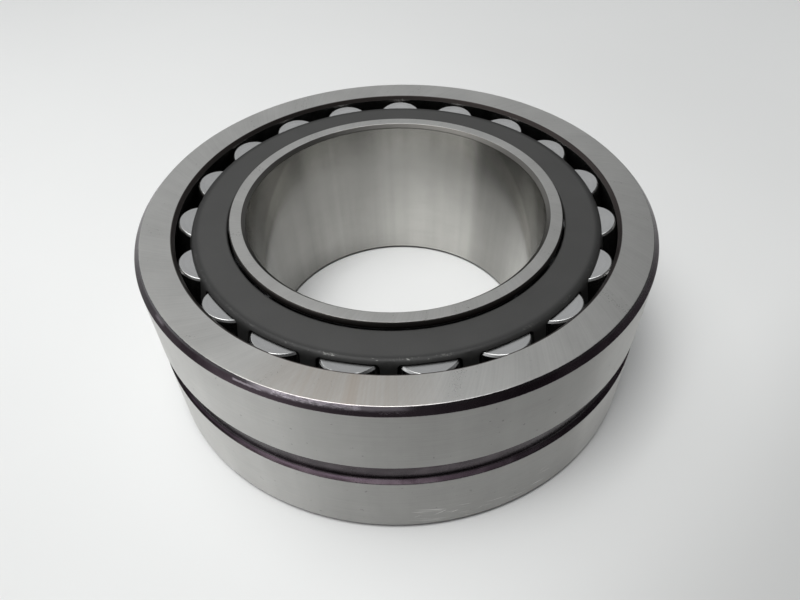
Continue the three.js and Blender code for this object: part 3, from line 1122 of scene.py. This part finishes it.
@dataclass
class InnerRing:
    """The inner ring, with two hollow raceways and a tapered bore."""

    node: str = "inner_ring"
    half_width: float = 38.0
    bore_small: float = 60.0
    taper: float = 1 / 24
    bore_chamfer: float = 1.5
    land: float = 76.5
    raceway: float = 98.5
    edge_break: float = 0.45
    columns: int = 380
    rollers: Rollers = field(default_factory=Rollers)
    BORE, FACE, RACE, CHAMFER = range(4)

    def _bore(self, height: float) -> float:
        """The bore's radius at a height."""
        return self.bore_small + (height + self.half_width) * self.taper

    def _raceway_points(self) -> list[Point]:
        """The upper raceway's profile, from the land up to the face."""
        lean = self.rollers.line.lean
        far = 2 * (self.raceway - self.rollers.gap - self.rollers.radius)
        middle = (far * math.cos(lean), far * math.sin(lean))
        land = math.acos((middle[0] - self.land) / self.raceway)
        face = math.asin((middle[1] - self.half_width + self.edge_break) / self.raceway)
        angles = np.linspace(math.pi + land, math.pi + face, 22)
        radius = middle[0] + self.raceway * np.cos(angles)
        height = middle[1] + self.raceway * np.sin(angles)
        return list(zip(radius.tolist(), height.tolist()))

    def section(self) -> Section:
        """The axial section."""
        top = self.half_width
        race = self._raceway_points()
        brim = race[-1]
        edge = brim[0] - self.edge_break
        chamfer = self.bore_chamfer
        corners = [
            Corner(edge, top, 0.2, self.FACE),
            Corner(self._bore(top) + chamfer, top, 0.35, self.CHAMFER),
            Corner(self._bore(top - chamfer), top - chamfer, 0.35, self.BORE),
            Corner(self._bore(chamfer - top), chamfer - top, 0.35, self.CHAMFER),
            Corner(self._bore(-top) + chamfer, -top, 0.35, self.FACE),
            Corner(edge, -top, 0.2, self.RACE),
            Corner(brim[0], -brim[1], 0.0, self.RACE),
            Corner(brim[0], brim[1], 0.0, self.RACE),
        ]
        section = Section.rounded(corners)
        split = section.points.index((brim[0], -brim[1])) + 1
        profile = [(radius, -height) for radius, height in reversed(race[:-1])] + race[:-1]
        section.points[split:split] = profile
        section.zones[split:split] = [self.RACE] * len(profile)
        return section

    def build(self) -> bpy.types.Mesh:
        """Builds the ring's mesh."""
        skin = Skin()
        skin.revolve(self.section(), self.columns)
        return skin.to_mesh(self.node)

    def dress(self) -> list[bpy.types.Material]:
        """The ring's finishes, one for each zone."""
        bore = GroundSteel(
            "bore_ground",
            (0.475, 0.468, 0.445),
            0.19,
            stretch=0.8,
            streak_tone=0.42,
            speck_tone=0.02,
            # Painted reflections: lighter and darker stretches of base colour round the bore.
            painted_reflections=(
                Sector(70.0, 26.0, 0.2),
                Sector(33.0, 20.0, -0.26),
                Sector(118.0, 26.0, -0.26),
                Sector(155.0, 30.0, -0.36),
            ),
            in_bore=True,
        )
        face = GroundSteel("inner_face_ground", (0.555, 0.55, 0.53), 0.29, lay=Lay.ACROSS, line_depth=0.0005)
        # Painted shade on the raceway next to the faces, where the gap by the cage lies in shade.
        race = PolishedSteel("inner_raceway", roughness=0.2, painted_shade_above=35.0)
        chamfer = GroundSteel("bore_chamfer", (0.15, 0.145, 0.135), 0.36)
        return [bore.make(), face.make(), race.make(), chamfer.make()]


@dataclass
class GuideRing:
    """The loose ring that keeps the rows of rollers apart."""

    node: str = "guide_ring"
    inside: float = 76.8
    outside: float = 88.0
    chamfer: float = 0.5
    columns: int = 380
    rollers: Rollers = field(default_factory=Rollers)

    def build(self) -> bpy.types.Mesh:
        """Builds the ring's mesh, its sloping sides beside the rollers' inner end faces."""
        brim = self.outside - self.chamfer
        inner = self.rollers.inner_face_height(self.inside)
        outer = self.rollers.inner_face_height(brim)
        upper = [
            Corner(self.outside, outer - self.chamfer, 0.2),
            Corner(brim, outer, 0.2),
            Corner(self.inside, inner, 0.25),
        ]
        lower = [Corner(c.radius, -c.height, c.fillet) for c in reversed(upper)]
        skin = Skin()
        skin.revolve(Section.rounded([*upper, *lower]), self.columns)
        return skin.to_mesh(self.node)

    def dress(self) -> list[bpy.types.Material]:
        """The ring's one finish."""
        return [TurnedIron("guide_ring_turned").make()]


# ---------------------------------------------------------------- cages


@dataclass
class Cage:
    """A pressed window cage: a flat flange, a bend, and a wall with a pocket for each roller."""

    node: str
    side: int
    first_azimuth: float
    rollers: Rollers = field(default_factory=Rollers)
    count: int = 19
    top: float = 35.6
    sheet: float = 2.0
    flange_inside: float = 70.8
    flange_middle: float = 75.4
    flange_flat: tuple[float, ...] = (82.0, 79.0, 76.0)
    wall: float = 3.0
    bend: float = 2.8
    end_height: float = 1.0
    pocket_gap: float = 0.3
    pocket_corner: float = 1.6
    wall_dip: float = 1.1
    edge: float = 0.3
    cells: int = 16
    low: float = -15.4
    high_outside: float = 15.1
    high_inside: float = 14.9

    def _wall_point(self, outward: float, height: float) -> Point:
        """Where the wall's surface meets a height."""
        line = self.rollers.line
        along = (height - line.height - outward * math.sin(line.lean)) / math.cos(line.lean)
        return (line.point(along, outward)[0], height)

    def _at(self, profile: np.ndarray, along: float) -> Point:
        """A surface's (radius, height) at a distance along the roller."""
        outward = float(np.interp(along, profile[:, 0], profile[:, 1]))
        return self.rollers.line.point(along, outward)

    def _side_line(self, outward: float, top: float, bend: float) -> np.ndarray:
        """Draws the wall's and the flange's surface on one side of the sheet.

        Args:
            outward: how far outward of the rollers' axes the wall's surface lies.
            top: the flange's height.
            bend: the radius of the bend between them.

        Returns:
            (radius, height) points from the wall's free end to the flange's middle.
        """
        foot = Corner(*self._wall_point(outward, self.end_height))
        turn = Corner(*self._wall_point(outward, top), bend)
        return np.array(Section.rounded([foot, turn, Corner(self.flange_middle, top)], 12, 0.4).points)

    def _half_width(self, along: np.ndarray | float) -> np.ndarray | float:
        """Half a pocket's width at a distance along the roller."""
        return np.sqrt(self.rollers.barrel(along) ** 2 - (self.wall - self.wall_dip) ** 2) + self.pocket_gap

    def _outline(self, grow: float) -> np.ndarray:
        """A pocket's outline, (across, along), counter-clockwise from its lower left corner.

        Args:
            grow: how far outside the pocket's edge it runs.

        Returns:
            Two rows of 4 x cells points.
        """
        straight = self.rollers.length / 2 + self.pocket_gap - self.pocket_corner
        corner = float(self._half_width(straight)) - self.pocket_corner
        reach = self.pocket_corner + grow
        before, after = np.radians([45.0, 30.0, 15.0]), np.radians([15.0, 30.0])
        fall, climb = reach * np.sin(before), reach * np.sin(after)
        out_before, out_after = reach * np.cos(before), reach * np.cos(after)
        level = np.linspace(-corner, corner, self.cells - 5)
        rise = np.linspace(-straight, straight, self.cells - 5)
        bottom = np.stack([
            np.concatenate([-corner - fall, level, corner + climb]),
            -straight - np.concatenate([out_before, np.full(len(level), reach), out_after]),
        ])
        right = np.stack([
            np.concatenate([corner + out_before, self._half_width(rise) + grow, corner + out_after]),
            np.concatenate([-straight - fall, rise, straight + climb]),
        ])
        return np.concatenate([bottom, right, -bottom, -right], axis=1)

    def _on_surface(self, outline: np.ndarray, profile: np.ndarray, sunk: float) -> np.ndarray:
        """Lifts a pocket's outline straight out of the roller's axis on to a surface.

        Args:
            outline: (across, along).
            profile: the surface as (along, outward), rising.
            sunk: how far inwards of the surface the loop lies.

        Returns:
            The loop's points for a roller at azimuth 0.
        """
        line = self.rollers.line
        across, along = outline
        rise = np.full_like(across, self.wall)
        for _ in range(16):
            depth, height = line.point(along, rise)
            local = line.local(np.stack([np.hypot(depth, across), height], axis=-1))
            rise = rise + np.interp(local[:, 0], profile[:, 0], profile[:, 1]) - local[:, 1]
        depth, height = line.point(along, rise - sunk)
        return np.stack([depth, across, height], axis=-1)

    def _border(self, high: float) -> np.ndarray:
        """The edge of one pocket's share of the wall up to a height, as (azimuth, along)."""
        half = math.pi / self.count
        turn = np.linspace(-half, half, self.cells + 1)[:-1]
        rise = np.linspace(self.low, high, self.cells + 1)[:-1]
        ones = np.ones(self.cells)
        azimuth = np.concatenate([turn, half * ones, -turn, -half * ones])
        along = np.concatenate([self.low * ones, rise, high * ones, rise[::-1] + rise[1] - rise[0]])
        return np.stack([azimuth, along], axis=-1)

    def _from_surface(self, loop: np.ndarray, profile: np.ndarray) -> np.ndarray:
        """(azimuth, along) points on a surface as points in space."""
        azimuth, along = loop[:, 0], loop[:, 1]
        radius, height = self.rollers.line.point(along, np.interp(along, profile[:, 0], profile[:, 1]))
        return np.stack([radius * np.cos(azimuth), radius * np.sin(azimuth), height], axis=-1)

    def _spread(self, border: np.ndarray, ring: np.ndarray, profile: np.ndarray) -> list[np.ndarray]:
        """Fills a pocket's share of a surface.

        Args:
            border: the share's edge, as (azimuth, along).
            ring: the loop round the pocket, in space.
            profile: the surface as (along, outward).

        Returns:
            Loops from the border almost to the ring.
        """
        radius = np.hypot(ring[:, 0], ring[:, 1])
        local = self.rollers.line.local(np.stack([radius, ring[:, 2]], axis=-1))
        near = np.stack([np.arctan2(ring[:, 1], ring[:, 0]), local[:, 0]], axis=-1)
        loops = [border, *blended(border, near, (0.3, 0.6, 0.85))]
        return [self._from_surface(loop, profile) for loop in loops]

    def _pocket(self, outer: np.ndarray, inner: np.ndarray) -> np.ndarray:
        """Loops from the outer surface through a pocket to the inner surface."""
        loops: list[np.ndarray] = []
        for profile, high, sign in ((outer, self.high_outside, 1), (inner, self.high_inside, -1)):
            rings = []
            for slope in np.radians([0, 30, 60, 90]):
                outline = self._outline(self.edge * (1 - math.sin(slope)))
                rings.append(self._on_surface(outline, profile, sign * self.edge * (1 - math.cos(slope))))
            part = [*self._spread(self._border(high), rings[0], profile), *rings]
            loops.extend(part if sign > 0 else reversed(part))
        return np.array(loops)

    def build(self) -> bpy.types.Mesh:
        """Builds the cage's mesh, upper side up, and mirrors it for the lower row."""
        lines = [
            self._side_line(self.wall + self.sheet, self.top, self.bend),
            self._side_line(self.wall, self.top - self.sheet, self.bend - self.sheet),
        ]
        locals_ = [self.rollers.line.local(line) for line in lines]
        outer, inner = [p[np.concatenate([[True], np.diff(p[:, 0]) > 1e-6])] for p in locals_]
        skin = Skin()
        loops = self._pocket(outer, inner)
        pitch = 2 * math.pi / self.count
        for i in range(self.count):
            turn = np.array(Matrix.Rotation(i * pitch, 3, "Z"))
            skin.grid(loops @ turn.T)
        columns = self.count * self.cells
        skin.grid(turned(self._flange(lines, outer, inner), columns, -pitch / 2))
        skin.grid(turned(self._rim(outer, inner), columns, -pitch / 2))
        mirror = Matrix.Diagonal((1.0, 1.0, float(self.side), 1.0))
        return skin.to_mesh(self.node, Matrix.Rotation(self.first_azimuth, 4, "Z") @ mirror, self.side < 0)

    def _flange(self, lines: Sequence[np.ndarray], outer: np.ndarray, inner: np.ndarray) -> np.ndarray:
        """Draws the profile from the wall's outside over the flange to the wall's inside.

        Args:
            lines: the outer and the inner side, as (radius, height).
            outer: the outer side as (along, outward).
            inner: the inner side as (along, outward).

        Returns:
            (radius, height) points.
        """
        local, flat = self.rollers.line.local, self.flange_flat[-1]
        over = [p for p in lines[0] if local(p)[0] > self.high_outside and p[0] > flat]
        under = [p for p in lines[1] if local(p)[0] > self.high_inside and p[0] > flat]
        bottom = self.top - self.sheet
        strip = [
            Corner(self.flange_inside, self.top, 0.7),
            Corner(self.flange_inside, bottom, 0.35),
            Corner(90.0, bottom),
            Corner(90.0, self.top),
        ]
        lip = [p for p in Section.rounded(strip).points if p[0] < self.flange_middle]
        inset = [(radius, self.top) for radius in self.flange_flat]
        start = self._at(outer, self.high_outside)
        end = self._at(inner, self.high_inside)
        return np.array([start, *over, *inset, *lip, (flat, bottom), *under[::-1], end])

    def _rim(self, outer: np.ndarray, inner: np.ndarray) -> np.ndarray:
        """The profile round the wall's free end, from its inside to its outside."""
        corners = [
            Corner(*self._at(inner, self.low)),
            Corner(*self._wall_point(self.wall, self.end_height), self.edge),
            Corner(*self._wall_point(self.wall + self.sheet, self.end_height), self.edge),
            Corner(*self._at(outer, self.low)),
        ]
        return np.array(Section.rounded(corners).points)

    def dress(self) -> list[bpy.types.Material]:
        """The cage's one finish."""
        return [Phosphate("cage_phosphate").make()]


# ---------------------------------------------------------------- studio


@dataclass
class Studio:
    """The pale table, the soft daylight and the camera."""

    floor_height: float = -38.0
    floor_size: float = 6000.0
    floor_tint: Colour = (0.81, 0.82, 0.822)
    daylight: Colour = (0.97, 0.985, 1.0)
    lamp_tint: Colour = (1.0, 0.995, 0.98)
    camera_place: Colour = (0.0, -225.73, 204.73)
    aim: Colour = (0.707, -10.133, -10.164)
    roll: float = math.radians(-1.698)
    lens: float = 29.546

    def build(self) -> None:
        """Sets up everything that isn't the bearing."""
        self._floor()
        self._world()
        self._lamp("overhead", (-280.0, 20.0, 900.0), 600.0, 2.8)
        fill = self._lamp("fill", (-350.0, -430.0, 1780.0), 1000.0, 24.0)
        fill.visible_glossy = False
        self._camera()
        bpy.context.scene.view_settings.view_transform = "Standard"

    def _floor(self) -> None:
        """The table, with painted shade: a little darker towards the right and the front."""
        half = self.floor_size * MM / 2
        height = self.floor_height * MM
        mesh = bpy.data.meshes.new("table")
        corners = [(x * half, y * half, height) for x, y in ((-1, -1), (1, -1), (1, 1), (-1, 1))]
        mesh.from_pydata(corners, [], [(0, 1, 2, 3)])
        material, recipe = new_material("table_white")
        place = Place(recipe)
        # Painted shade on the table: darker to the right, the lower right and the front, fading out far away.
        shade = place.x.fade(-220.0, 280.0) * 0.09
        shade = shade + (place.x * 0.6 - place.y * 0.8).fade(100.0, 200.0) * 0.27
        shade = shade + (place.x * -0.6 - place.y * 0.8).fade(60.0, 260.0) * 0.1
        shade = shade * place.radius.fade(620.0, 260.0)
        tone = 1.0 + (place.noise(0.006) - 0.5) * 0.04 - shade
        colour = recipe.shade(self.floor_tint, tone)
        finish_material(recipe, colour, 0.5, None, 0.0, 0.0, {"Specular IOR Level": 0.12})
        mesh.materials.append(material)
        table = bpy.data.objects.new("table", mesh)
        bpy.context.scene.collection.objects.link(table)

    def _world(self) -> None:
        """The room: bright to the left, dim behind the camera, and softer on matt things."""
        world = bpy.data.worlds.new("room")
        world.use_nodes = True
        bpy.context.scene.world = world
        recipe = Recipe(world.node_tree)
        way = recipe.add("ShaderNodeTexCoord", out="Generated")
        x, y, z = (recipe.split(way, axis) for axis in range(3))
        left = (x * -1.0).fade(0.2, 0.85)
        right = x.fade(0.05, 0.7) - x.fade(0.65, 0.95) * 0.5
        corner = (y * -0.8 + x * 0.5).fade(0.0, 0.5)
        low = 0.1 + left * 1.35 + right * 0.4
        middle = (0.56 - right * 0.35 + left * 0.06 - z.fade(0.45, 0.85) * 0.14) * (1.0 - corner * 0.68)
        high = z.fade(0.88, 0.985)
        strength = low + z.fade(0.12, 0.45) * (middle - low) + high * 2.4
        strength = strength * (1.0 - recipe.add("ShaderNodeLightPath", out="Is Diffuse Ray") * 0.7)
        backdrop = 0.4 + z.fade(0.0, 0.5) * 0.32
        seen = recipe.add("ShaderNodeLightPath", out="Is Camera Ray")
        strength = strength + seen * (backdrop - strength)
        light = {"Color": (*self.daylight, 1.0), "Strength": strength}
        background = recipe.add("ShaderNodeBackground", None, light)
        recipe.add("ShaderNodeOutputWorld", None, {"Surface": background})

    def _lamp(self, name: str, place: Colour, size: float, power: float) -> bpy.types.Object:
        """Adds a square lamp that faces the bearing.

        Args:
            name: its name.
            place: where it stands, in millimetres.
            size: its side, in millimetres.
            power: its power in watts.

        Returns:
            The lamp.
        """
        lamp = bpy.data.lights.new(name, "AREA")
        lamp.size = size * MM
        lamp.energy = power
        lamp.color = self.lamp_tint
        holder = bpy.data.objects.new(name, lamp)
        holder.location = Vector(place) * MM
        holder.rotation_euler = (-holder.location).to_track_quat("-Z", "Y").to_euler()
        bpy.context.scene.collection.objects.link(holder)
        return holder

    def _camera(self) -> None:
        """The camera."""
        camera = bpy.data.cameras.new("camera")
        camera.lens = self.lens
        camera.sensor_width = 36.0
        camera.clip_start = 0.01
        holder = bpy.data.objects.new("camera", camera)
        place = Vector(self.camera_place) * MM
        forward = (Vector(self.aim) * MM - place).normalized()
        right = forward.cross(Vector((0.0, 0.0, 1.0))).normalized()
        level = right * math.cos(self.roll) + right.cross(forward) * math.sin(self.roll)
        turn = Matrix((level, level.cross(forward), -forward)).transposed().to_4x4()
        holder.matrix_world = Matrix.Translation(place) @ turn
        bpy.context.scene.collection.objects.link(holder)
        bpy.context.scene.camera = holder


# ---------------------------------------------------------------- everything together


@dataclass
class Bearing:
    """The whole bearing, piece by piece."""

    joints: Sequence[Mapping[str, Any]]
    pieces: list[bpy.types.Object] = field(default_factory=list)

    def _report(self, piece: bpy.types.Object) -> None:
        """Notes a finished piece."""
        self.pieces.append(piece)
        LOG.info("%s: %d faces", piece.name, len(piece.data.polygons))

    def build_rings(self) -> None:
        """The outer, inner and guide rings."""
        for ring, slot in (
            (OuterRing(), "ring_steel"),
            (InnerRing(), "ring_steel"),
            (GuideRing(), "guide_ring_iron"),
        ):
            self._report(place_piece(ring.build(), ring.node, ring.dress()))

    def build_cages(self) -> None:
        """The two cages."""
        finish: list[bpy.types.Material] = []
        for node, side in (("cage_upper", 1), ("cage_lower", -1)):
            first = next(j for j in self.joints if j["parent"] == node)
            azimuth = math.atan2(first["pos_m"][1], first["pos_m"][0])
            cage = Cage(node, side, azimuth)
            finish = finish or cage.dress()
            self._report(place_piece(cage.build(), node, finish))

    def build_rollers(self) -> None:
        """Both rows of rollers, which share one mesh."""
        rollers = Rollers()
        mesh = rollers.build()
        finishes = rollers.dress()
        for joint in self.joints:
            if joint["child"].startswith("roller_"):
                self._report(place_piece(mesh, joint["child"], finishes, rollers.seat(joint)))


def write_sizes() -> None:
    """Updates the view layer.
    """
    bpy.context.view_layer.update()


def main() -> None:
    """Builds the bearing and its studio."""
    logging.basicConfig(level=logging.INFO, format="%(message)s")
    bearing = Bearing(frame["joints"])
    bearing.build_rings()
    bearing.build_cages()
    bearing.build_rollers()
    Studio().build()
    write_sizes()


if __name__ == "__main__":
    main()
